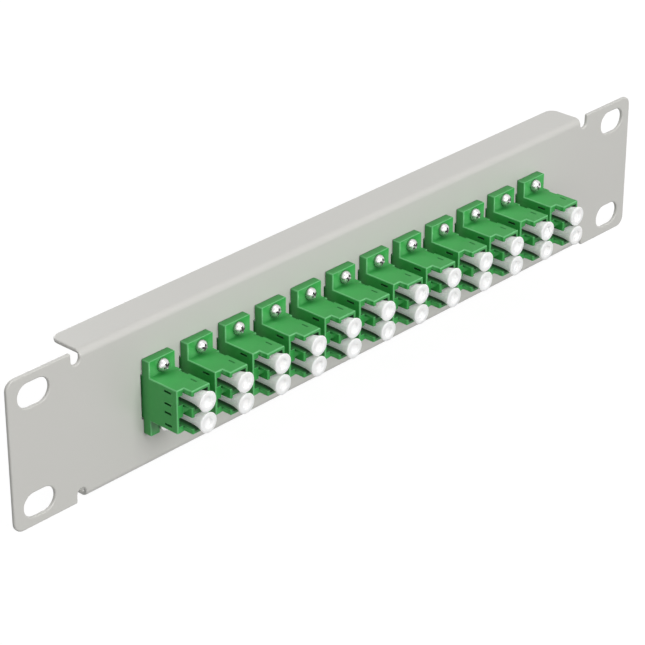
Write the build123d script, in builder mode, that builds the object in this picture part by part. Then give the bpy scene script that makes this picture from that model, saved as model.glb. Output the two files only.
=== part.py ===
from build123d import *
import os

# Ten-inch, one-unit fibre patch panel: a folded steel sheet that carries a row of upright
# duplex adapters, each held by two small screws, with a dust cap in every port.
# Frame: X runs along the panel, Y from the front face to the back, Z up, in millimetres.
# The origin is the centre of the front face, midway between the four rack slots.

# Rack panel
panel_width = 254.0
panel_height = 44.0
sheet = 1.2
ear_corner_r = 3.0
ear_inner_r = 0.6
slot_inset = 8.75
slot_pitch_z = 31.75
slot_length = 10.5
slot_height = 7.0
fold_inset = 24.5
fold_height = 43.2
fold_depth = 11.8
bend_inner_r = 0.8
fold_corner_r = 3.0
relief_width = 3.0

# Row of adapters
adapter_count = 12
adapter_pitch = 14.0
body_width = 9.5
body_height = 12.9
cutout_side_gap = 0.4
cutout_end_gap = 0.3

# Flange of an adapter, clamped on the front face
flange_thickness = 2.9
flange_above = 4.7
flange_below = 4.6
screw_pitch = 17.8

# Body in front of the flange, repeated behind it about the middle of the flange
nose_length = 13.1
key_setback = 2.95
key_side_width = 2.6
key_root_r = 1.0
key_nose_r = 0.4
grip_start = 2.3
grip_length = 3.0
grip_depth = 0.8
nose_side_relief = 0.4

# Ports of an adapter, one above the other, with the key towards -X
port_pitch = 6.25
port_offset = 1.15
port_size = 4.86
neck_height = 3.4
shoulder_width = 0.45
shoulder_height = 4.66
latch_height = 2.6
key_wall = 0.65
key_depth = 8.0
window_offset = 1.8
window_length = 2.6
window_height = 0.6
window_setback = 2.2
dimple_length = 2.2
dimple_width = 0.5
dimple_depth = 0.3
dimple_offset = 2.5

# Alignment sleeve, a split ceramic tube held in the wall between front and back ports
sleeve_length = 6.8
sleeve_outer_d = 1.6
sleeve_inner_d = 1.25
sleeve_split = 0.25
sleeve_clearance = 0.05
sleeve_end_gap = 0.1

# Flange screw
screw_d = 2.0
screw_length = 5.0
screw_head_d = 3.8
screw_head_top_d = 2.7
screw_head_height = 1.9
screw_hole_gap = 0.15
thread_gap = 0.05
notch_gap = 0.45

# Dust cap, a trumpet-shaped plug
cap_length = 13.5
cap_stem_d = 4.1
cap_head_d = 5.9
cap_flare_length = 3.2
cap_dish_d = 2.8
cap_dish_depth = 0.8
cap_seat_gap = 0.2

# Places that follow from the sizes above
slot_pitch_x = panel_width - 2 * slot_inset
fold_length = panel_width - 2 * fold_inset
bend_outer_r = bend_inner_r + sheet
flange_middle = -flange_thickness / 2
holder_half = sleeve_length / 2 + sleeve_end_gap
nose_end = flange_thickness / 2 + nose_length
key_end = nose_end - key_setback
key_step_x = key_side_width - body_width / 2
port_z = port_pitch / 2
flange_height = body_height + flange_above + flange_below
flange_centre_z = (flange_above - flange_below) / 2
adapter_places = [adapter_pitch * (place - (adapter_count - 1) / 2) for place in range(adapter_count)]
FRONT = -1
BACK = 1

os.makedirs("parts", exist_ok=True)


def plane_at(x, distance, side):
    """Plane square to Y, a distance in front of or behind the middle of the flange, facing out."""
    origin = (x, flange_middle + side * distance, 0)
    return Plane(origin=origin, x_dir=(1, 0, 0), z_dir=(0, side, 0))


def build_panel():
    """Sheet with two flat ears, and long edges folded back between them."""
    bend_line_z = fold_height / 2 - bend_outer_r
    relief_centre_x = (fold_length + relief_width) / 2
    relief_r = relief_width / 2
    with BuildPart() as panel:
        with BuildSketch(Plane.YZ):
            with Locations((fold_depth / 2, 0)):
                Rectangle(fold_depth, fold_height)
        extrude(amount=fold_length / 2, both=True)
        long_front_edges = panel.edges().filter_by(Axis.X).group_by(Axis.Y)[0]
        fillet(long_front_edges, radius=bend_outer_r)
        with BuildSketch(Plane.YZ) as hollow:
            with Locations((sheet + fold_depth / 2, 0)):
                Rectangle(fold_depth, fold_height - 2 * sheet)
            fillet(hollow.vertices().group_by(Axis.Y)[0], radius=bend_inner_r)
        extrude(amount=fold_length / 2, both=True, mode=Mode.SUBTRACT)
        corners = panel.edges().filter_by(Axis.Z).group_by(Axis.Y)[-1]
        fillet(corners, radius=fold_corner_r)

        with BuildSketch(Plane.XZ) as blank:
            Rectangle(panel_width, panel_height)
            fillet(blank.vertices(), radius=ear_corner_r)
            Rectangle(fold_length + 2 * relief_width, panel_height, mode=Mode.SUBTRACT)
            fillet(blank.vertices().filter_by_position(Axis.X, -relief_centre_x - relief_r,
                                                       relief_centre_x + relief_r), radius=ear_inner_r)
        extrude(amount=-sheet)
        with BuildSketch(Plane.XZ):
            Rectangle(fold_length + 2 * relief_width, 2 * bend_line_z)
            with GridLocations(2 * relief_centre_x, 2 * bend_line_z, 2, 2):
                Circle(relief_r, mode=Mode.SUBTRACT)
        extrude(amount=-sheet)

        with BuildSketch(Plane.XZ):
            with GridLocations(slot_pitch_x, slot_pitch_z, 2, 2):
                SlotOverall(slot_length, slot_height)
            with GridLocations(adapter_pitch, 0, adapter_count, 1):
                Rectangle(body_width + 2 * cutout_side_gap, body_height + 2 * cutout_end_gap)
            with GridLocations(adapter_pitch, screw_pitch, adapter_count, 2):
                Circle(screw_d / 2 + thread_gap)
        extrude(amount=-sheet, mode=Mode.SUBTRACT)
    return panel


def build_housing(x):
    """Moulded duplex adapter: two welded halves with a flange, keyed ports and sleeve holders."""
    side_face = body_width / 2
    latch_end = key_wall - side_face
    latch_start = key_step_x - shoulder_width
    grip_y = grip_start + flange_thickness / 2
    with BuildPart() as housing:
        # Plan outline of the body, stepped at the key side and relieved on the other side
        with BuildSketch(Plane((x, flange_middle, -body_height / 2))) as outline:
            with BuildLine():
                Polyline(
                    (-side_face, 0), (-side_face, -key_end), (key_step_x, -key_end), (key_step_x, -nose_end),
                    (side_face - nose_side_relief, -nose_end),
                    (side_face - nose_side_relief, -grip_y - grip_length),
                    (side_face - grip_depth, -grip_y - grip_length),
                    (side_face - grip_depth, -grip_y), (side_face, -grip_y), (side_face, 0))
                mirror(about=Plane.XZ)
            make_face()
            step_corners = outline.vertices().group_by(Axis.X)[1]
            nose_front, root_front, root_back, nose_back = step_corners.sort_by(Axis.Y)
            fillet((nose_front, nose_back), radius=key_nose_r)
            fillet((root_front, root_back), radius=key_root_r)
        extrude(amount=body_height)

        # Flange with a closed hole above and an open notch below
        with BuildSketch(Plane((x, 0, 0), x_dir=(1, 0, 0), z_dir=(0, -1, 0))):
            with Locations((0, flange_centre_z)):
                Rectangle(body_width, flange_height)
            with Locations((0, screw_pitch / 2)):
                Circle(screw_d / 2 + screw_hole_gap, mode=Mode.SUBTRACT)
            notch_r = screw_d / 2 + notch_gap
            with Locations((0, -screw_pitch / 2)):
                Circle(notch_r, mode=Mode.SUBTRACT)
                with Locations((0, -flange_below)):
                    Rectangle(2 * notch_r, 2 * flange_below, mode=Mode.SUBTRACT)
        extrude(amount=flange_thickness)

        for side in (FRONT, BACK):
            # Square cavity with the neck of the latch track beside it
            with BuildSketch(plane_at(x, nose_end, side)):
                with Locations((port_offset, 0)):
                    with GridLocations(0, port_pitch, 1, 2):
                        Rectangle(port_size, port_size)
            extrude(amount=holder_half - nose_end, mode=Mode.SUBTRACT)
            with BuildSketch(plane_at(x, nose_end, side)):
                with Locations(((port_offset + key_step_x) / 2, 0)):
                    with GridLocations(0, port_pitch, 1, 2):
                        Rectangle(port_offset - key_step_x, neck_height)
            extrude(amount=-key_depth - key_setback, mode=Mode.SUBTRACT)
            # Wide shoulder and narrow latch slot, open at the set-back key side
            with BuildSketch(plane_at(x, nose_end, side)):
                with Locations((key_step_x - shoulder_width / 2, 0)):
                    with GridLocations(0, port_pitch, 1, 2):
                        Rectangle(shoulder_width, shoulder_height)
                with Locations(((latch_start + latch_end) / 2, 0)):
                    with GridLocations(0, port_pitch, 1, 2):
                        Rectangle(latch_start - latch_end, latch_height)
            extrude(amount=-key_depth - key_setback, mode=Mode.SUBTRACT)

        # Windows through the key side into the shoulders, front and back
        with BuildSketch(Plane((x - side_face, flange_middle, 0), x_dir=(0, 1, 0), z_dir=(1, 0, 0))):
            window_y = key_end - window_setback - window_length / 2
            with GridLocations(2 * window_y, port_pitch, 2, 2):
                with GridLocations(0, 2 * window_offset, 1, 2):
                    Rectangle(window_length, window_height)
        extrude(amount=key_side_width, mode=Mode.SUBTRACT)

        # Bores through the wall between front and back ports, for the alignment sleeves
        with BuildSketch(plane_at(x, holder_half, FRONT)):
            with Locations((port_offset, 0)):
                with GridLocations(0, port_pitch, 1, 2):
                    Circle(sleeve_outer_d / 2 + sleeve_clearance)
        extrude(amount=-2 * holder_half, mode=Mode.SUBTRACT)

        # Short dimples in the top and the bottom face
        for up in (1, -1):
            with BuildSketch(Plane((x, flange_middle, up * body_height / 2), z_dir=(0, 0, up))):
                with Locations((dimple_offset, 0)):
                    with GridLocations(0, 2 * key_end - dimple_length, 1, 2):
                        Rectangle(dimple_width, dimple_length)
            extrude(amount=-dimple_depth, mode=Mode.SUBTRACT)
    return housing


def build_screws(z):
    """Row of pan-head screws through the flanges into the tapped holes of the sheet."""
    with BuildPart() as screws:
        for x in adapter_places:
            with BuildSketch(Plane((x, -flange_thickness, z))):
                with BuildLine():
                    Polyline(
                        (0, -screw_head_height), (screw_head_top_d / 2, -screw_head_height),
                        (screw_head_d / 2, 0), (screw_d / 2, 0),
                        (screw_d / 2, screw_length), (0, screw_length), close=True)
                make_face()
            revolve(axis=Axis((x, 0, z), (0, 1, 0)))
    return screws


def build_sleeves():
    """Split tubes that line up the fibre ends, one between each front port and its back port."""
    with BuildPart() as sleeves:
        with BuildSketch(plane_at(port_offset, sleeve_length / 2, FRONT)):
            with GridLocations(adapter_pitch, port_pitch, adapter_count, 2):
                Circle(sleeve_outer_d / 2)
                Circle(sleeve_inner_d / 2, mode=Mode.SUBTRACT)
                with Locations((-sleeve_outer_d / 2, 0)):
                    Rectangle(sleeve_outer_d, sleeve_split, mode=Mode.SUBTRACT)
        extrude(amount=-sleeve_length)
    return sleeves


def build_cap(x, z, side, dished):
    """Trumpet-shaped dust cap: a round stem in the port, flared to a head that may be dished."""
    seat = holder_half + cap_seat_gap
    head = seat + cap_length
    port_axis = Axis((x + port_offset, flange_middle, z), (0, side, 0))
    with BuildPart() as cap:
        with BuildSketch(Plane(port_axis.position, x_dir=(1, 0, 0), z_dir=(0, 0, side))):
            with BuildLine():
                Polyline(
                    (0, seat), (cap_stem_d / 2, seat), (cap_stem_d / 2, head - cap_flare_length),
                    (cap_head_d / 2, head), (0, head), close=True)
            make_face()
        revolve(axis=port_axis)
        if dished:
            head_centre = port_axis.position + port_axis.direction * head
            with BuildSketch(Plane(head_centre, z_dir=port_axis.direction)):
                Circle(cap_dish_d / 2)
            extrude(amount=-cap_dish_depth, mode=Mode.SUBTRACT)
    return cap


def write_piece(piece, name):
    """Label a finished piece and write it under the same name."""
    piece.part.label = name
    export_step(piece.part, f"parts/{name}.step")


write_piece(build_panel(), "panel")
write_piece(build_screws(screw_pitch / 2), "flange_screws_upper")
write_piece(build_screws(-screw_pitch / 2), "flange_screws_lower")
write_piece(build_sleeves(), "alignment_sleeves")
for number, x in enumerate(adapter_places, start=1):
    write_piece(build_housing(x), f"adapter_{number:02d}_housing")
    write_piece(build_cap(x, port_z, FRONT, dished=True), f"front_cap_{number:02d}_upper")
    write_piece(build_cap(x, -port_z, FRONT, dished=True), f"front_cap_{number:02d}_lower")
    with BuildPart() as back_caps:
        add(build_cap(x, port_z, BACK, dished=False).part)
        add(build_cap(x, -port_z, BACK, dished=False).part)
    write_piece(back_caps, f"back_caps_{number:02d}")
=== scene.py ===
"""Studio scene of a narrow fibre patch panel with a row of upright duplex adapters.

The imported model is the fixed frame. Each sub-assembly below is a class that holds its
sizes in millimetres and builds its meshes in metres, in the frame's own coordinates:
X along the panel, Y from the front face to the back, Z up.
"""

import logging
import math
from collections.abc import Callable, Sequence
from dataclasses import dataclass
from enum import Enum

import bmesh
import bpy
from mathutils import Matrix, Vector


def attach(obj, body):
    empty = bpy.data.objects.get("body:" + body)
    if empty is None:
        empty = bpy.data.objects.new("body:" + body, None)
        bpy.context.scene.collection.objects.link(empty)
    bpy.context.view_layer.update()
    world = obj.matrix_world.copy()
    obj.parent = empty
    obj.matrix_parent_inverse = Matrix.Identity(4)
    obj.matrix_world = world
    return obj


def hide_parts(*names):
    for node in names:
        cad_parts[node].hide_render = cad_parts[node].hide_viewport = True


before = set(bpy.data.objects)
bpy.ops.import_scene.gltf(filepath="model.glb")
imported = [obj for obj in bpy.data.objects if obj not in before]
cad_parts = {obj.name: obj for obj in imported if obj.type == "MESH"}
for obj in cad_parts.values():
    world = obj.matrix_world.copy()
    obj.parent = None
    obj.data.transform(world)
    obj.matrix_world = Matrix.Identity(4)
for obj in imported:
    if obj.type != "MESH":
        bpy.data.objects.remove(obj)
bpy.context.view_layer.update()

MM = 0.001
PANEL_BODY = "panel_body"

# How a CAD node's facets are merged, and which of its edges can be rounded
MERGE_DISTANCE = 1e-6
FLAT_DEG = 0.5
SHARP_DEG = 35.0

# The part of a noise value's range that is used, and the rays that find corners and hollows for the
# painted shade
NOISE_SPAN = (0.3, 0.7)
PAINTED_SHADE_RAYS = 8

# Linear red, green and blue; the ends of a range; a profile's radius and distance along Y
Colour = tuple[float, float, float]
Span = tuple[float, float]
Point = tuple[float, float]

log = logging.getLogger("patch_panel")


class Side(Enum):
    """Which way a port or a cap faces, as the sign of Y."""

    FRONT = -1
    BACK = 1


class Level(Enum):
    """Which of an adapter's two ports or screws, as the sign of Z."""

    UPPER = 1
    LOWER = -1


# Node helpers

class NodeKit:
    """Short calls to add and join the nodes of one tree."""

    def __init__(self, tree: bpy.types.NodeTree) -> None:
        """Take a tree.

        Args:
            tree: The tree that gets the nodes.
        """
        self.tree = tree

    def add(self, kind: str, inputs: dict[str | int, object] | None = None,
            **settings: object) -> bpy.types.Node:
        """Add a node.

        Args:
            kind: Blender's name for the node's type.
            inputs: Value of each named or numbered input, or an output socket to join to it.
            settings: Attributes of the node itself.

        Returns:
            The new node.
        """
        node = self.tree.nodes.new(kind)
        for key, value in settings.items():
            setattr(node, key, value)
        for key, value in (inputs or {}).items():
            socket = node.inputs[key]
            if isinstance(value, bpy.types.NodeSocket):
                self.tree.links.new(value, socket)
            else:
                socket.default_value = value
        return node

    def looked_at(self) -> bpy.types.NodeSocket:
        """Add a switch that is 1 for camera, glossy and transmission rays, and 0 for the others.

        Returns:
            The switch's socket.
        """
        rays = self.add("ShaderNodeLightPath")
        seen = rays.outputs["Is Camera Ray"]
        for kind in ("Is Glossy Ray", "Is Transmission Ray"):
            either = self.add("ShaderNodeMath", {0: seen, 1: rays.outputs[kind]},
                              operation="MAXIMUM")
            seen = either.outputs[0]
        return seen


class Shader(NodeKit):
    """A new node material."""

    def __init__(self, name: str) -> None:
        """Start an empty material.

        Args:
            name: Name of the material.
        """
        self.material = bpy.data.materials.new(name)
        self.material.use_nodes = True
        super().__init__(self.material.node_tree)
        self.tree.nodes.clear()
        self.output = self.add("ShaderNodeOutputMaterial")

    def noise(self, scale: float, detail: float = 2.0) -> bpy.types.NodeSocket:
        """Add noise that stays on the object.

        Args:
            scale: Features per metre.
            detail: Octaves.

        Returns:
            The noise value's socket.
        """
        place = self.add("ShaderNodeTexCoord").outputs["Object"]
        node = self.add("ShaderNodeTexNoise", {"Vector": place, "Scale": scale, "Detail": detail})
        return node.outputs["Fac"]

    def between(self, factor: bpy.types.NodeSocket, ends: Span) -> bpy.types.NodeSocket:
        """Map the used part of a noise value's range onto a range of numbers.

        Args:
            factor: The noise value's socket.
            ends: Results at the two ends of that part.

        Returns:
            The mapped number's socket.
        """
        node = self.add("ShaderNodeMapRange", {
            "Value": factor, "From Min": NOISE_SPAN[0], "From Max": NOISE_SPAN[1],
            "To Min": ends[0], "To Max": ends[1]})
        return node.outputs["Result"]

    def tint(self, factor: bpy.types.NodeSocket, first: Sequence[float],
             second: Sequence[float] | bpy.types.NodeSocket) -> bpy.types.NodeSocket:
        """Blend two colours by a factor.

        Args:
            factor: The factor's socket.
            first: Linear red, green and blue at factor 0.
            second: The same at factor 1, or a colour's socket.

        Returns:
            The blended colour's socket.
        """
        node = self.add("ShaderNodeMix", {0: factor}, data_type="RGBA")
        low, high = (socket for socket in node.inputs if socket.type == "RGBA")
        low.default_value = (*first, 1.0)
        if isinstance(second, bpy.types.NodeSocket):
            self.tree.links.new(second, high)
        else:
            high.default_value = (*second, 1.0)
        return next(socket for socket in node.outputs if socket.type == "RGBA")

    def painted_crevice_shade(self, colour: bpy.types.NodeSocket, deep: Colour,
                 reach: float) -> bpy.types.NodeSocket:
        """Paint shade into a colour in corners and hollows, where less light gets in.

        Args:
            colour: The colour's socket.
            deep: Linear red, green and blue of the painted shade, where little light gets in.
            reach: How far away the neighbouring walls count, in millimetres.

        Returns:
            The darkened colour's socket.
        """
        # Painted shade: the colour turns towards deep where the Ambient Occlusion node finds walls
        # close by
        light = self.add("ShaderNodeAmbientOcclusion", {"Distance": reach * MM},
                         samples=PAINTED_SHADE_RAYS)
        return self.tint(light.outputs["AO"], deep, colour)

    def bump(self, height: bpy.types.NodeSocket, strength: float,
             depth: float) -> bpy.types.NodeSocket:
        """Turn a height into a normal.

        Args:
            height: The height's socket.
            strength: Share of the bump that shows.
            depth: Depth for a height of 1, in millimetres.

        Returns:
            The normal's socket.
        """
        node = self.add("ShaderNodeBump", {"Height": height, "Strength": strength,
                                           "Distance": depth * MM})
        return node.outputs["Normal"]

    def finish(self, surface: bpy.types.NodeSocket) -> bpy.types.Material:
        """Join a surface to the output and hand the material over.

        Args:
            surface: The surface's socket.

        Returns:
            The finished material.
        """
        self.tree.links.new(surface, self.output.inputs["Surface"])
        return self.material

    def skin(self, inputs: dict[str | int, object]) -> bpy.types.Material:
        """Finish the material with a Principled surface.

        Args:
            inputs: Value or socket of each of its named inputs.

        Returns:
            The finished material.
        """
        return self.finish(self.add("ShaderNodeBsdfPrincipled", inputs).outputs["BSDF"])


# Mesh helpers

def new_piece(name: str, mesh: bpy.types.Mesh) -> bpy.types.Object:
    """Put a mesh into the scene as an object at the origin.

    Args:
        name: The piece's name.
        mesh: Its mesh, already in place.

    Returns:
        The new object.
    """
    piece = bpy.data.objects.new(name, mesh)
    bpy.context.scene.collection.objects.link(piece)
    return piece


def apply_modifiers(piece: bpy.types.Object) -> None:
    """Bake an object's modifiers into a plain mesh.

    Args:
        piece: The object to bake.
    """
    bpy.context.view_layer.update()
    depsgraph = bpy.context.evaluated_depsgraph_get()
    mesh = bpy.data.meshes.new_from_object(piece.evaluated_get(depsgraph))
    piece.modifiers.clear()
    piece.data = mesh
    mesh.name = piece.name


def drop(piece: bpy.types.Object) -> None:
    """Remove a helper object from the file.

    Args:
        piece: The helper.
    """
    bpy.data.objects.remove(piece)


def to_mesh(shape: bmesh.types.BMesh, name: str) -> bpy.types.Mesh:
    """Turn a bmesh into a mesh and free it.

    Args:
        shape: The bmesh.
        name: The mesh's name.

    Returns:
        The new mesh.
    """
    mesh = bpy.data.meshes.new(name)
    shape.to_mesh(mesh)
    shape.free()
    return mesh


def within(value: float, span: Span) -> bool:
    """Tell whether a number lies inside a span, without its ends.

    Args:
        value: The number.
        span: The span's ends.

    Returns:
        True when it does.
    """
    return span[0] < value < span[1]


def edge_middle(edge: bmesh.types.BMEdge) -> Vector:
    """Middle of an edge.

    Args:
        edge: The edge.

    Returns:
        The point in metres.
    """
    return (edge.verts[0].co + edge.verts[1].co) / 2


def lathe(name: str, profile: Sequence[Point], sides: int,
          crease_deg: float) -> bpy.types.Mesh:
    """Turn a profile about the Y axis.

    Args:
        name: The mesh's name.
        profile: Pairs of radius and distance along Y, in millimetres. Radius 0 makes a pole.
        sides: Faces round the axis.
        crease_deg: Angle over which an edge stays sharp.

    Returns:
        The mesh, with its normals outwards.
    """
    shape = bmesh.new()
    turns = [2 * math.pi * step / sides for step in range(sides)]
    rings = []
    for radius, along in profile:
        if radius == 0:
            rings.append([shape.verts.new((0, along * MM, 0))])
            continue
        rings.append([shape.verts.new((radius * MM * math.cos(turn), along * MM,
                                       radius * MM * math.sin(turn))) for turn in turns])
    for low, high in zip(rings, rings[1:]):
        for step in range(sides):
            after = (step + 1) % sides
            corners = []
            for ring, at in ((low, step), (low, after), (high, after), (high, step)):
                corner = ring[at % len(ring)]
                if corner not in corners:
                    corners.append(corner)
            shape.faces.new(corners)
    bmesh.ops.recalc_face_normals(shape, faces=shape.faces)
    mesh = to_mesh(shape, name)
    mesh.shade_smooth()
    mesh.set_sharp_from_angle(angle=math.radians(crease_deg))
    return mesh


def arc(centre: Point, radius: float, turn_deg: Span, steps: int) -> list[Point]:
    """Points along an arc of a profile.

    Args:
        centre: Radius and distance of the arc's centre.
        radius: The arc's own radius.
        turn_deg: Angles of the first and last point, from the radius direction towards +Y.
        steps: Stretches between the points.

    Returns:
        The points, first and last included.
    """
    first, last = turn_deg
    points = []
    for step in range(steps + 1):
        turn = math.radians(first + (last - first) * step / steps)
        points.append((centre[0] + radius * math.cos(turn), centre[1] + radius * math.sin(turn)))
    return points


def rounded_copy(node: str, name: str, width: float,
                 weight: Callable[[bmesh.types.BMEdge], float], segments: int,
                 flat: bpy.types.Material, edge: bpy.types.Material) -> bpy.types.Object:
    """Copy a CAD node with its facets merged and its outer edges rounded.

    Args:
        node: The CAD node.
        name: The new piece's name.
        width: Width of a full rounding, in millimetres.
        weight: Share of the full width for each convex edge, 0 to leave it sharp.
        segments: Faces across a rounding.
        flat: Material of the faces.
        edge: Material of the roundings.

    Returns:
        The new piece, as a plain mesh.
    """
    shape = bmesh.new()
    shape.from_mesh(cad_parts[node].data)
    bmesh.ops.remove_doubles(shape, verts=shape.verts, dist=MERGE_DISTANCE)
    bmesh.ops.dissolve_limit(shape, angle_limit=math.radians(FLAT_DEG), verts=shape.verts,
                             edges=shape.edges, use_dissolve_boundaries=False)
    weights = shape.edges.layers.float.new("bevel_weight_edge")
    for side in shape.edges:
        if (side.is_manifold and side.is_convex
                and side.calc_face_angle() > math.radians(SHARP_DEG)):
            side[weights] = weight(side)
    mesh = to_mesh(shape, name)
    mesh.shade_smooth()
    mesh.materials.clear()
    piece = new_piece(name, mesh)
    bevel = piece.modifiers.new("rounding", "BEVEL")
    bevel.limit_method = "WEIGHT"
    bevel.offset_type = "OFFSET"
    bevel.width = width * MM
    bevel.segments = segments
    bevel.use_clamp_overlap = False
    bevel.material = 1
    flats = piece.modifiers.new("flat_faces", "WEIGHTED_NORMAL")
    flats.mode = "FACE_AREA"
    for material in (flat, edge):
        mesh.materials.append(material)
    apply_modifiers(piece)
    return piece


# Finishes, with lengths in millimetres and noise scales in features per metre

@dataclass(frozen=True)
class PowderCoat:
    """Light grey powder coat with a faint orange peel."""

    colour: Colour = (0.615, 0.610, 0.578)
    drift: Colour = (0.64, 0.632, 0.602)
    roughness: Span = (0.32, 0.40)
    cloud_scale: float = 18.0
    grit_scale: float = 6000.0
    peel_scale: float = 1500.0
    peel_strength: float = 0.35
    peel_depth: float = 0.02

    def make(self) -> bpy.types.Material:
        """Build the material.

        Returns:
            The material.
        """
        shader = Shader("powder_coat")
        peel = shader.noise(self.peel_scale, detail=1.0)
        return shader.skin({
            "Base Color": shader.tint(shader.noise(self.cloud_scale), self.colour, self.drift),
            "Roughness": shader.between(shader.noise(self.grit_scale), self.roughness),
            "Normal": shader.bump(peel, self.peel_strength, self.peel_depth)})


@dataclass(frozen=True)
class GreenMoulding:
    """Satin green moulded plastic, with painted shade in its corners and hollows."""

    name: str = "green_moulding"
    colour: Colour = (0.034, 0.362, 0.064)
    drift: Colour = (0.044, 0.402, 0.078)
    # Painted shade: its colour in corners and hollows, and how far away the walls count in
    # millimetres
    deep: Colour = (0.004, 0.040, 0.010)
    reach: float = 3.5
    roughness: Span = (0.34, 0.44)
    flow_scale: float = 160.0
    grain_scale: float = 4200.0
    grain_strength: float = 0.18
    grain_depth: float = 0.012

    def make(self) -> bpy.types.Material:
        """Build the material.

        Returns:
            The material.
        """
        shader = Shader(self.name)
        green = shader.tint(shader.noise(self.flow_scale, detail=3.0), self.colour, self.drift)
        grain = shader.noise(self.grain_scale)
        return shader.skin({
            "Base Color": shader.painted_crevice_shade(green, self.deep, self.reach),
            "Roughness": shader.between(grain, self.roughness),
            "Normal": shader.bump(grain, self.grain_strength, self.grain_depth)})


@dataclass(frozen=True)
class CapPlastic:
    """Soft white plastic that light enters a little, with painted shade in its hollows and a faint
    painted glow that brightens its shaded stems.
    """

    colour: Colour = (0.895, 0.89, 0.885)
    drift: Colour = (0.92, 0.915, 0.91)
    # Painted shade: its colour in hollows, and how far away the walls count in millimetres
    deep: Colour = (0.40, 0.40, 0.40)
    reach: float = 0.4
    roughness: Span = (0.38, 0.48)
    cloud_scale: float = 350.0
    grain_scale: float = 5000.0
    grain_strength: float = 0.15
    grain_depth: float = 0.01
    scatter: float = 0.8
    scatter_radius: Colour = (1.0, 0.97, 0.95)
    scatter_depth: float = 2.0
    # Painted glow: emission that lifts the stems out of the ports' shade
    glow: float = 0.13

    def make(self) -> bpy.types.Material:
        """Build the material.

        Returns:
            The material.
        """
        shader = Shader("cap_plastic")
        white = shader.tint(shader.noise(self.cloud_scale), self.colour, self.drift)
        grain = shader.noise(self.grain_scale)
        return shader.skin({
            "Base Color": shader.painted_crevice_shade(white, self.deep, self.reach),
            "Roughness": shader.between(grain, self.roughness),
            "Normal": shader.bump(grain, self.grain_strength, self.grain_depth),
            "Subsurface Weight": self.scatter, "Subsurface Radius": self.scatter_radius,
            "Subsurface Scale": self.scatter_depth * MM, "Emission Strength": self.glow})


@dataclass(frozen=True)
class ZincPlate:
    """Bright plated steel of the small screws, with painted shade in the cross recess and other
    hollows.
    """

    colour: Colour = (0.66, 0.65, 0.65)
    drift: Colour = (0.80, 0.79, 0.79)
    # Painted shade: its colour in the recess and other hollows, and how far away the walls count in
    # millimetres
    deep: Colour = (0.03, 0.03, 0.03)
    reach: float = 0.9
    roughness: Span = (0.22, 0.32)
    cloud_scale: float = 900.0
    grain_scale: float = 3000.0
    metallic: float = 0.9

    def make(self) -> bpy.types.Material:
        """Build the material.

        Returns:
            The material.
        """
        shader = Shader("zinc_plate")
        cloud = shader.noise(self.cloud_scale, detail=3.0)
        plate = shader.tint(cloud, self.colour, self.drift)
        return shader.skin({
            "Base Color": shader.painted_crevice_shade(plate, self.deep, self.reach),
            "Roughness": shader.between(shader.noise(self.grain_scale), self.roughness),
            "Metallic": self.metallic})


@dataclass(frozen=True)
class WhiteCeramic:
    """Polished ceramic of the alignment sleeves."""

    colour: Colour = (0.84, 0.83, 0.80)
    drift: Colour = (0.88, 0.87, 0.84)
    roughness: Span = (0.10, 0.18)
    cloud_scale: float = 800.0
    grain_scale: float = 2500.0

    def make(self) -> bpy.types.Material:
        """Build the material.

        Returns:
            The material.
        """
        shader = Shader("white_ceramic")
        return shader.skin({
            "Base Color": shader.tint(shader.noise(self.cloud_scale), self.colour, self.drift),
            "Roughness": shader.between(shader.noise(self.grain_scale), self.roughness)})


@dataclass(frozen=True)
class StudioFloor:
    """Dark floor that glows to the camera, so that it looks white and keeps a soft shadow."""

    grey: float = 0.10
    mottle: float = 0.01
    mottle_scale: float = 3.0
    lift: float = 0.94

    def make(self) -> bpy.types.Material:
        """Build the material.

        Returns:
            The material.
        """
        shader = Shader("studio_floor")
        tone = shader.tint(shader.noise(self.mottle_scale), (self.grey,) * 3,
                           (self.grey + self.mottle,) * 3)
        cloth = shader.add("ShaderNodeBsdfDiffuse", {"Color": tone})
        level = shader.add("ShaderNodeMath", {0: shader.looked_at(), 1: self.lift},
                           operation="MULTIPLY")
        glow = shader.add("ShaderNodeEmission", {"Strength": level.outputs[0]})
        both = shader.add("ShaderNodeAddShader", {0: cloth.outputs[0], 1: glow.outputs[0]})
        return shader.finish(both.outputs[0])


# Painted highlight: a paler green on the housings' rounded edges, where they would catch the light
PAINTED_EDGE_HIGHLIGHT = GreenMoulding("green_moulding_edge", (0.135, 0.52, 0.185), (0.15, 0.55, 0.20))


@dataclass(frozen=True)
class Finishes:
    """Every material of the object."""

    coat: bpy.types.Material
    green: bpy.types.Material
    green_edge: bpy.types.Material
    cap: bpy.types.Material
    zinc: bpy.types.Material
    ceramic: bpy.types.Material

    @classmethod
    def build(cls) -> "Finishes":
        """Make each material once.

        Returns:
            The materials.
        """
        return cls(
            coat=PowderCoat().make(),
            green=GreenMoulding().make(),
            green_edge=PAINTED_EDGE_HIGHLIGHT.make(),
            cap=CapPlastic().make(),
            zinc=ZincPlate().make(),
            ceramic=WhiteCeramic().make(),
        )


# Repeats

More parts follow.
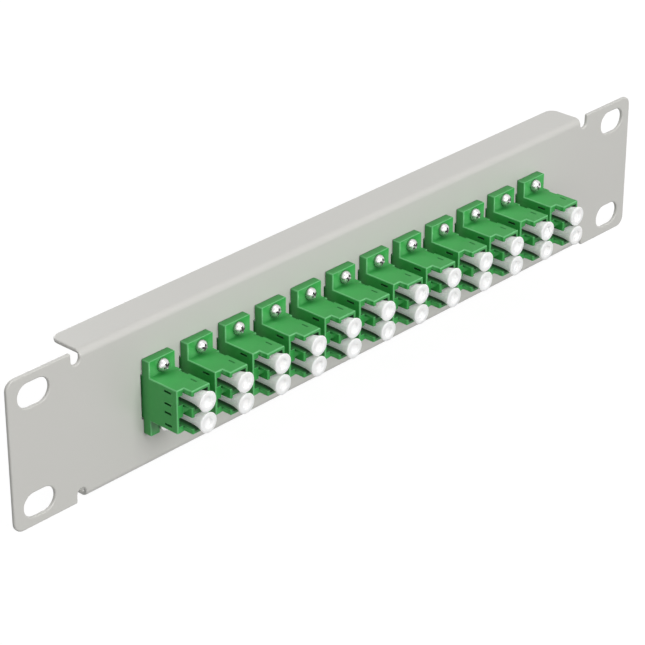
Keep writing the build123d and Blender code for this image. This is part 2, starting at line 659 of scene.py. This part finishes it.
class Repeater:
    """A Geometry Nodes tree that sets copies of one piece along a straight row."""

    INPUTS = (
        ("Piece", "NodeSocketObject"), ("Count", "NodeSocketInt"), ("Start", "NodeSocketVector"),
        ("Step", "NodeSocketVector"), ("Facing", "NodeSocketVector"), ("Spin", "NodeSocketFloat"),
        ("Seed", "NodeSocketInt"), ("Finish", "NodeSocketMaterial"),
    )

    def __init__(self) -> None:
        """Build the tree with its named inputs."""
        self.tree = bpy.data.node_groups.new("row_of_pieces", "GeometryNodeTree")
        face = self.tree.interface
        face.new_socket(name="Geometry", in_out="INPUT", socket_type="NodeSocketGeometry")
        self.sockets = {
            name: face.new_socket(name=name, in_out="INPUT", socket_type=kind).identifier
            for name, kind in self.INPUTS}
        face.new_socket(name="Geometry", in_out="OUTPUT", socket_type="NodeSocketGeometry")
        kit = NodeKit(self.tree)
        given = kit.add("NodeGroupInput").outputs
        line = kit.add("GeometryNodeMeshLine", {
            "Count": given["Count"], "Start Location": given["Start"], "Offset": given["Step"]})
        piece = kit.add("GeometryNodeObjectInfo", {"Object": given["Piece"]})
        facing = kit.add("FunctionNodeEulerToRotation", {"Euler": given["Facing"]})
        copies = kit.add("GeometryNodeInstanceOnPoints", {
            "Points": line.outputs["Mesh"], "Instance": piece.outputs["Geometry"],
            "Rotation": facing.outputs["Rotation"]})
        chance = kit.add("FunctionNodeRandomValue", {"Seed": given["Seed"]})
        angle = kit.add("ShaderNodeMath", {0: chance.outputs[1], 1: given["Spin"]},
                        operation="MULTIPLY")
        about_y = kit.add("ShaderNodeCombineXYZ", {"Y": angle.outputs[0]})
        turn = kit.add("FunctionNodeEulerToRotation", {"Euler": about_y.outputs["Vector"]})
        turned = kit.add("GeometryNodeRotateInstances", {
            "Instances": copies.outputs["Instances"], "Rotation": turn.outputs["Rotation"]})
        real = kit.add("GeometryNodeRealizeInstances", {"Geometry": turned.outputs["Instances"]})
        dressed = kit.add("GeometryNodeSetMaterial", {
            "Geometry": real.outputs["Geometry"], "Material": given["Finish"]})
        kit.add("NodeGroupOutput", {"Geometry": dressed.outputs["Geometry"]})

    def row(self, name: str, piece: bpy.types.Mesh, count: int, start: Sequence[float],
            step: Sequence[float], finish: bpy.types.Material, facing_deg: float = 0.0,
            spin_deg: float = 0.0, seed: int = 0) -> bpy.types.Object:
        """Make a row of copies as one plain mesh.

        Args:
            name: The row's name.
            piece: The mesh to copy, made at the origin along Y.
            count: How many copies.
            start: Place of the first copy, in millimetres.
            step: Step from each copy to the next, in millimetres.
            finish: Material of the whole row.
            facing_deg: Turn about Z, 180 to face the other way along Y.
            spin_deg: Largest random turn of each copy about its own Y axis.
            seed: Seed of the random turns.

        Returns:
            The new piece.
        """
        pattern = new_piece(name + "_pattern", piece)
        row = new_piece(name, bpy.data.meshes.new(name))
        modifier = row.modifiers.new("row", "NODES")
        modifier.node_group = self.tree
        values = {
            "Piece": pattern, "Count": count, "Start": [value * MM for value in start],
            "Step": [value * MM for value in step],
            "Facing": [0.0, 0.0, math.radians(facing_deg)],
            "Spin": math.radians(spin_deg), "Seed": seed, "Finish": finish,
        }
        for key, value in values.items():
            modifier[self.sockets[key]] = value
        apply_modifiers(row)
        drop(pattern)
        return row


# Sub-assemblies, with sizes in millimetres

@dataclass
class AdapterRow:
    """Where the adapters stand, shared by everything that sits on them."""

    count: int = 12
    pitch: float = 14.0
    flange_thickness: float = 2.9
    port_pitch: float = 6.25
    port_offset: float = 1.15
    screw_pitch: float = 17.8
    wall_half: float = 3.5

    @property
    def middle(self) -> float:
        """Y of the flange's middle, about which each adapter repeats."""
        return -self.flange_thickness / 2

    @property
    def numbers(self) -> range:
        """Numbers of the adapters, from 1 at the left."""
        return range(1, self.count + 1)

    def place(self, number: int) -> float:
        """X of an adapter's middle.

        Args:
            number: The adapter's number.

        Returns:
            The distance in millimetres.
        """
        return self.pitch * (number - 1 - (self.count - 1) / 2)


@dataclass
class SheetPanel:
    """Folded sheet with softly rounded edges under its powder coat."""

    row: AdapterRow
    rounding: float = 0.45
    segments: int = 3
    screw_zone: float = 1.3
    cutout_half_width: float = 6.0
    cutout_half_height: float = 7.2
    cutout_share: float = 0.3

    def _weight(self, edge: bmesh.types.BMEdge) -> float:
        """Share of the rounding on an edge: none at the tapped holes, little at the cut-outs.

        Args:
            edge: The edge.

        Returns:
            The share.
        """
        middle = edge_middle(edge)
        for number in self.row.numbers:
            across = middle.x - self.row.place(number) * MM
            down = abs(middle.z) - self.row.screw_pitch / 2 * MM
            if math.hypot(across, down) < self.screw_zone * MM:
                return 0.0
            if (abs(across) < self.cutout_half_width * MM
                    and abs(middle.z) < self.cutout_half_height * MM):
                return self.cutout_share
        return 1.0

    def build(self, finishes: Finishes) -> bpy.types.Object:
        """Make the coated sheet in place of its plain solid.

        Args:
            finishes: The object's materials.

        Returns:
            The new piece.
        """
        piece = rounded_copy("panel", "coated_sheet", self.rounding, self._weight, self.segments,
                             finishes.coat, finishes.coat)
        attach(piece, PANEL_BODY)
        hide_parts("panel")
        return piece


@dataclass
class AdapterHousings:
    """Moulded housings with a painted highlight on their rounded edges, all from the first one's
    mesh.

    The zones are measured across from an adapter's middle, out from its flange's middle and
    up or down from its centre line.
    """

    row: AdapterRow
    rounding: float = 0.3
    segments: int = 2
    body_half_width: float = 4.75
    body_half_height: float = 6.45
    wall: float = 0.3
    fine: float = 0.12
    mouth: float = 0.33
    window_out: Span = (6.7, 9.5)
    holder_room: float = 0.1
    holder_half_width: float = 4.0
    dimple_offset: float = 2.5
    dimple_half_width: float = 0.4
    dimple_out: Span = (9.0, 11.9)
    dimple_room: float = 0.35
    key_root_across: Span = (-3.4, -1.2)
    key_root_out: Span = (11.3, 13.2)
    key_root_up: Span = (5.4, 6.3)
    screw_zone: float = 1.3

    def _weight(self, edge: bmesh.types.BMEdge) -> float:
        """Share of the rounding on an edge.

        It is small at slits and holes, a third at the port mouths, and none where roundings
        would overlap: at the sleeves' holder, the dimples and the root of the key.

        Args:
            edge: The edge.

        Returns:
            The share.
        """
        middle = edge_middle(edge)
        across = middle.x / MM - self.row.place(1)
        out = abs(middle.y / MM - self.row.middle)
        up = abs(middle.z / MM)
        inside_height = up < self.body_half_height - self.wall
        if within(out, self.window_out) and inside_height:
            return self.fine
        if (out < self.row.wall_half + self.holder_room and inside_height
                and abs(across) < self.holder_half_width):
            return 0.0
        if (abs(up - self.body_half_height) < self.dimple_room
                and abs(across - self.dimple_offset) < self.dimple_half_width
                and within(out, self.dimple_out)):
            return 0.0
        if (within(across, self.key_root_across) and within(out, self.key_root_out)
                and within(up, self.key_root_up)):
            return 0.0
        if math.hypot(across, up - self.row.screw_pitch / 2) < self.screw_zone and middle.z > 0:
            return self.fine
        inside = abs(across) < self.body_half_width - self.wall and inside_height
        return self.mouth if inside else 1.0

    def _moulding(self, finishes: Finishes) -> bpy.types.Mesh:
        """Round the first housing.

        Args:
            finishes: The object's materials.

        Returns:
            Its mesh.
        """
        # The roundings take the paler green of the painted edge highlight.
        piece = rounded_copy("adapter_01_housing", "moulding", self.rounding, self._weight,
                             self.segments, finishes.green, finishes.green_edge)
        mesh = piece.data
        drop(piece)
        return mesh

    def build_all(self, finishes: Finishes) -> list[bpy.types.Object]:
        """Make every housing in place of its plain solid.

        Args:
            finishes: The object's materials.

        Returns:
            The new pieces.
        """
        moulding = self._moulding(finishes)
        pieces = []
        for number in self.row.numbers:
            mesh = moulding.copy()
            mesh.name = f"adapter_{number:02d}_moulding"
            step = self.row.place(number) - self.row.place(1)
            mesh.transform(Matrix.Translation((step * MM, 0, 0)))
            piece = new_piece(mesh.name, mesh)
            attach(piece, PANEL_BODY)
            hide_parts(f"adapter_{number:02d}_housing")
            pieces.append(piece)
        bpy.data.meshes.remove(moulding)
        return pieces


@dataclass
class FlangeScrews:
    """Pan-head screws with a cross recess and a threaded shank."""

    row: AdapterRow
    repeater: Repeater
    head_radius: float = 1.8
    head_height: float = 1.85
    head_side: float = 0.25
    head_fullness: float = 1.1
    head_chamfer: float = 0.1
    dome_step_deg: float = 12.0
    dome_steps: int = 8
    shank_radius: float = 1.0
    length: float = 5.0
    thread_pitch: float = 0.4
    thread_depth: float = 0.2
    thread_from: float = 0.3
    tip_gap: float = 0.2
    recess_width: float = 0.56
    recess_reach: float = 1.15
    recess_depth: float = 1.05
    recess_flare: float = 0.15
    recess_taper: float = 0.35
    cut_room: float = 0.2
    sides: int = 32
    crease_deg: float = 40.0
    spin_deg: float = 90.0
    seed: int = 3

    def _blank(self) -> bpy.types.Mesh:
        """Screw without its recess, with the head towards -Y and its seat at Y 0.

        Returns:
            The mesh.
        """
        rise = self.head_height - self.head_side
        power = 1 / self.head_fullness
        turns = [math.radians(self.dome_step_deg * step) for step in range(self.dome_steps)]
        dome = [(self.head_radius * math.cos(turn) ** power,
                 -self.head_side - rise * math.sin(turn) ** power) for turn in turns]
        root = self.shank_radius - self.thread_depth
        thread = []
        along = self.length - self.tip_gap
        while along > self.thread_from:
            thread += [(root, along), (self.shank_radius, along - self.thread_pitch / 2)]
            along -= self.thread_pitch
        points = [(0, -self.head_height), *reversed(dome), (self.head_radius, -self.head_chamfer),
                  (self.head_radius - self.head_chamfer, 0), (self.shank_radius, 0),
                  *reversed(thread), (root, self.length), (0, self.length)]
        return lathe("screw", points, self.sides, self.crease_deg)

    def _wing(self, turn_deg: float) -> bpy.types.Object:
        """One bar of the tapered cross that is cut from the head.

        Args:
            turn_deg: Turn of the bar about the screw's axis.

        Returns:
            The cutter.
        """
        shape = bmesh.new()
        half = self.recess_width / 2
        top, bottom = -self.head_height - self.cut_room, -self.head_height + self.recess_depth
        turn = math.radians(turn_deg)
        corners = []
        for along, reach in ((top, self.recess_reach + self.recess_flare),
                             (bottom, self.recess_reach * self.recess_taper)):
            for across, side in ((reach, half), (reach, -half), (-reach, -half), (-reach, half)):
                x = across * math.cos(turn) - side * math.sin(turn)
                z = across * math.sin(turn) + side * math.cos(turn)
                corners.append(shape.verts.new((x * MM, along * MM, z * MM)))
        for face in ((0, 1, 2, 3), (7, 6, 5, 4), (0, 4, 5, 1), (1, 5, 6, 2), (2, 6, 7, 3),
                     (3, 7, 4, 0)):
            shape.faces.new([corners[at] for at in face])
        bmesh.ops.recalc_face_normals(shape, faces=shape.faces)
        return new_piece("recess", to_mesh(shape, "recess"))

    def _screw(self) -> bpy.types.Mesh:
        """Whole screw, with the cross cut into its head.

        Returns:
            The mesh.
        """
        screw = new_piece("screw", self._blank())
        wings = [self._wing(0.0), self._wing(90.0)]
        for wing in wings:
            cut = screw.modifiers.new("cross", "BOOLEAN")
            cut.operation = "DIFFERENCE"
            cut.solver = "EXACT"
            cut.object = wing
        apply_modifiers(screw)
        for wing in wings:
            drop(wing)
        mesh = screw.data
        drop(screw)
        mesh.set_sharp_from_angle(angle=math.radians(self.crease_deg))
        return mesh

    def build(self, level: Level, finishes: Finishes) -> bpy.types.Object:
        """Make one row of screws in place of their plain solids.

        Args:
            level: The upper or the lower row.
            finishes: The object's materials.

        Returns:
            The new piece.
        """
        name = level.name.lower()
        start = (self.row.place(1), -self.row.flange_thickness,
                 level.value * self.row.screw_pitch / 2)
        piece = self.repeater.row(f"cross_screws_{name}", self._screw(), self.row.count, start,
                                  (self.row.pitch, 0, 0), finishes.zinc, spin_deg=self.spin_deg,
                                  seed=self.seed + level.value)
        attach(piece, PANEL_BODY)
        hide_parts(f"flange_screws_{name}")
        return piece


@dataclass
class DustCaps:
    """Trumpet-shaped dust caps with a dished head.

    Each point of the dish's rim says how far out from the dish's radius and how far down from
    the head it is. Each point of its floor says how far out and how far up from the floor.
    """

    row: AdapterRow
    repeater: Repeater
    length: float = 13.5
    seat_gap: float = 0.2
    stem_radius: float = 2.0
    stem_chamfer: float = 0.25
    head_radius: float = 2.95
    flare: float = 7.4
    flare_steps: int = 14
    sweep: float = 3.2
    lip: float = 0.22
    lip_turn_deg: Span = (20.0, 90.0)
    lip_steps: int = 3
    dish_radius: float = 1.42
    dish_depth: float = 0.8
    dish_rim: tuple[Point, ...] = ((0.12, 0.0), (0.03, 0.05), (0.0, 0.14))
    dish_floor: tuple[Point, ...] = ((-0.12, 0.16), (-0.3, 0.0))
    sides: int = 40
    crease_deg: float = 50.0

    def mesh(self) -> bpy.types.Mesh:
        """Cap with its deep end at Y 0 and its head towards +Y.

        Returns:
            The mesh.
        """
        flare_start = self.length - self.flare
        points = [(0, 0), (self.stem_radius - self.stem_chamfer, 0),
                  (self.stem_radius, self.stem_chamfer)]
        for step in range(self.flare_steps + 1):
            share = step / self.flare_steps
            swell = (self.head_radius - self.stem_radius) * share ** self.sweep
            points.append((self.stem_radius + swell, flare_start + (self.flare - self.lip) * share))
        points += arc((self.head_radius - self.lip, self.length - self.lip), self.lip,
                      self.lip_turn_deg, self.lip_steps)
        floor = self.length - self.dish_depth
        points += [(self.dish_radius + out, self.length - down) for out, down in self.dish_rim]
        points += [(self.dish_radius + out, floor + up) for out, up in self.dish_floor]
        points.append((0, floor))
        return lathe("dust_cap", points, self.sides, self.crease_deg)

    def build(self, number: int, side: Side, levels: Sequence[Level], node: str,
              finishes: Finishes) -> bpy.types.Object:
        """Make the cap or the pair of caps of one CAD node.

        Args:
            number: The adapter's number.
            side: The side that the caps are on.
            levels: The ports that they close.
            node: The CAD node, which is also its body's name before the ending.
            finishes: The object's materials.

        Returns:
            The new piece.
        """
        seat = self.row.middle + side.value * (self.row.wall_half + self.seat_gap)
        start = (self.row.place(number) + self.row.port_offset, seat,
                 levels[0].value * self.row.port_pitch / 2)
        facing = 0.0 if side is Side.BACK else 180.0
        piece = self.repeater.row(node.replace("cap", "dust_cap"), self.mesh(), len(levels), start,
                                  (0, 0, -self.row.port_pitch), finishes.cap, facing_deg=facing)
        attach(piece, node + "_body")
        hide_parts(node)
        return piece

    def build_all(self, finishes: Finishes) -> list[bpy.types.Object]:
        """Make every cap of the row.

        Args:
            finishes: The object's materials.

        Returns:
            The new pieces.
        """
        pieces = []
        for number in self.row.numbers:
            for level in Level:
                node = f"front_cap_{number:02d}_{level.name.lower()}"
                pieces.append(self.build(number, Side.FRONT, [level], node, finishes))
            node = f"back_caps_{number:02d}"
            pieces.append(self.build(number, Side.BACK, list(Level), node, finishes))
        return pieces


# Studio

@dataclass(frozen=True)
class SoftLamp:
    """Square lamp that points at the panel.

    Its place and the length of its sides are in metres. Its level is the brightness that it
    gives a white surface facing it.
    """

    name: str
    place: tuple[float, float, float]
    size: float
    level: float

    def make(self) -> None:
        """Put the lamp into the scene."""
        data = bpy.data.lights.new(self.name, "AREA")
        data.size = self.size
        away = Vector(self.place)
        data.energy = self.level * math.pi ** 2 * away.length_squared
        lamp = bpy.data.objects.new(self.name, data)
        lamp.location = away
        lamp.rotation_euler = (-away).to_track_quat("-Z", "Y").to_euler()
        bpy.context.scene.collection.objects.link(lamp)


LAMPS = (
    SoftLamp("key_lamp", (-0.1, -1.2, 0.6), 0.8, 0.65),
    SoftLamp("top_lamp", (-0.1, -0.15, 1.5), 1.0, 0.12),
    SoftLamp("fill_lamp", (-1.1, -1.0, 0.22), 0.8, 0.10),
    SoftLamp("back_lamp", (0.3, 1.2, 0.32), 0.8, 0.45),
)


@dataclass
class Studio:
    """Floor, soft lamps and the camera at the photograph's viewing angle.

    Lengths are in millimetres, and the focal length and the image's side in pixels.
    """

    floor_z: float = -22.0
    floor_half: float = 9000.0
    azimuth_deg: float = 46.98
    elevation_deg: float = 27.46
    distance: float = 718.9
    target: tuple[float, float, float] = (-12.76, 0.0, -4.37)
    focal_px: float = 2572.0
    image_px: float = 645.0
    sensor: float = 36.0
    clip_start: float = 20.0
    world_level: float = 0.38

    def floor(self) -> None:
        """Make the floor that the panel stands on."""
        half = self.floor_half * MM
        height = self.floor_z * MM
        corners = [(x * half, y * half, height) for x, y in ((-1, -1), (1, -1), (1, 1), (-1, 1))]
        mesh = bpy.data.meshes.new("studio_floor")
        mesh.from_pydata(corners, [], [(0, 1, 2, 3)])
        floor = new_piece("studio_floor", mesh)
        mesh.materials.append(StudioFloor().make())

    def camera(self) -> None:
        """Make the camera and hand it to the scene."""
        turn, tilt = math.radians(self.azimuth_deg), math.radians(self.elevation_deg)
        ahead = Vector((math.sin(turn) * math.cos(tilt), math.cos(turn) * math.cos(tilt),
                        -math.sin(tilt)))
        data = bpy.data.cameras.new("studio_camera")
        data.sensor_width = self.sensor
        data.lens = self.focal_px * self.sensor / self.image_px
        data.clip_start = self.clip_start * MM
        camera = bpy.data.objects.new("studio_camera", data)
        camera.location = (Vector(self.target) - ahead * self.distance) * MM
        camera.rotation_euler = ahead.to_track_quat("-Z", "Y").to_euler()
        bpy.context.scene.collection.objects.link(camera)
        bpy.context.scene.camera = camera

    def air(self) -> None:
        """Make the soft surrounding light, which is white to the camera and in reflections."""
        world = bpy.data.worlds.new("studio_air")
        world.use_nodes = True
        kit = NodeKit(world.node_tree)
        level = kit.add("ShaderNodeMapRange", {
            "Value": kit.looked_at(), "To Min": self.world_level, "To Max": 1.0})
        sky = kit.tree.nodes["Background"]
        sky.inputs["Color"].default_value = (1.0, 1.0, 1.0, 1.0)
        kit.tree.links.new(level.outputs["Result"], sky.inputs["Strength"])
        bpy.context.scene.world = world

    def build(self) -> None:
        """Make the whole studio."""
        self.floor()
        self.camera()
        for lamp in LAMPS:
            lamp.make()
        self.air()
        bpy.context.scene.view_settings.view_transform = "Standard"


def main() -> None:
    """Build the scene, piece by piece."""
    logging.basicConfig(level=logging.INFO, format="%(name)s: %(message)s")
    finishes = Finishes.build()
    row = AdapterRow()
    repeater = Repeater()
    Studio().build()
    pieces = [SheetPanel(row).build(finishes)]
    pieces += AdapterHousings(row).build_all(finishes)
    screws = FlangeScrews(row, repeater)
    pieces += [screws.build(level, finishes) for level in Level]
    pieces += DustCaps(row, repeater).build_all(finishes)
    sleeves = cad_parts["alignment_sleeves"]
    sleeves.data.materials.clear()
    sleeves.data.materials.append(finishes.ceramic)
    for piece in pieces:
        log.info("%s: %d faces", piece.name, len(piece.data.polygons))


if __name__ == "__main__":
    main()
